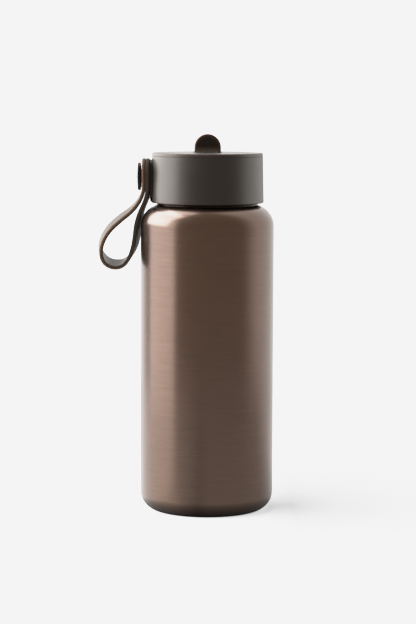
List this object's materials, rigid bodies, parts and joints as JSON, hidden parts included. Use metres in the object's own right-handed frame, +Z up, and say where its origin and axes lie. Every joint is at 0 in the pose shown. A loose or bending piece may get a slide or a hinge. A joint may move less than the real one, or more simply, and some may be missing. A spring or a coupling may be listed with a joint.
{
  "type": "insulated water bottle",
  "caption": "Double-wall steel bottle in satin copper finish with screw lid, flip-up spout, straw and silicone carry strap.",
  "frame": {"origin": "centre of the foot, on the plane that the bottle stands on", "axes": "+Z up along the bottle's axis, -X towards the strap, -Y towards the flat face of the spout"},
  "size_m": [0.1185, 0.09, 0.2549],
  "materials": {
    "copper_satin": "steel sheet with a satin brown copper-coloured coating",
    "raw_steel": "bare brushed stainless steel",
    "copper_foil": "thin bright copper foil",
    "getter_alloy": "dull pressed metal powder",
    "solder_glass": "dark fused glass",
    "adhesive_foam": "thin foam mounting tape",
    "lid_taupe": "satin moulded plastic in dark taupe",
    "core_black": "fine matte moulded plastic",
    "puck_foam": "white expanded foam",
    "clear_silicone": "milky food-grade silicone",
    "straw_plastic": "frosted polypropylene",
    "spout_brown": "smooth dark brown plastic with a soft gloss",
    "pin_steel": "turned stainless steel",
    "stud_black": "polished black plastic",
    "insert_brass": "turned brass",
    "strap_silicone": "soft matte silicone in dark taupe"
  },
  "bodies": {
    "bottle": {"outer_shell": "copper_satin", "outer_base": "raw_steel", "inner_flask": "raw_steel", "inner_base": "raw_steel", "heat_shield": "copper_foil", "getter_pellet": "getter_alloy", "getter_clip": "raw_steel", "seal_bead": "solder_glass", "pad_adhesive": "adhesive_foam", "base_pad": "strap_silicone"},
    "gasket": {"lid_gasket": "clear_silicone"},
    "lid": {"lid_skirt": "lid_taupe", "lid_top_disc": "lid_taupe", "lid_core": "core_black", "plug_cap": "core_black", "insulation_puck": "puck_foam", "straw": "straw_plastic", "spout_axles": "pin_steel", "spout_seal": "clear_silicone", "vent_valve": "clear_silicone", "strap_saddle": "stud_black", "strap_bush": "core_black", "stud_washer": "stud_black", "stud_screw": "pin_steel", "stud_cap": "stud_black", "strap_insert": "insert_brass"},
    "spout": {"spout_tab": "spout_brown"},
    "strap": {"strap": "strap_silicone"}
  },
  "joints": [
    {"name": "lid_lift", "type": "slide", "parent": "bottle", "child": "gasket", "axis": [0, 0, 1], "range_m": [0, 0.008]},
    {"name": "lid_turn", "type": "hinge", "parent": "gasket", "child": "lid", "pos_m": [0, 0, 0.2205], "axis": [0, 0, 1], "range_deg": [0, 360]},
    {"name": "spout_flip", "type": "hinge", "parent": "lid", "child": "spout", "pos_m": [0, 0.0085, 0.2383], "axis": [-1, 0, 0], "range_deg": [0, 90]},
    {"name": "strap_swivel", "type": "hinge", "parent": "lid", "child": "strap", "pos_m": [-0.0415, 0, 0.2265], "axis": [1, 0, 0], "range_deg": [-90, 90]}
  ],
  "couplings": [
    {"joint": "lid_lift", "follows": "lid_turn", "m_per_rad": 0.0012732}
  ]
}
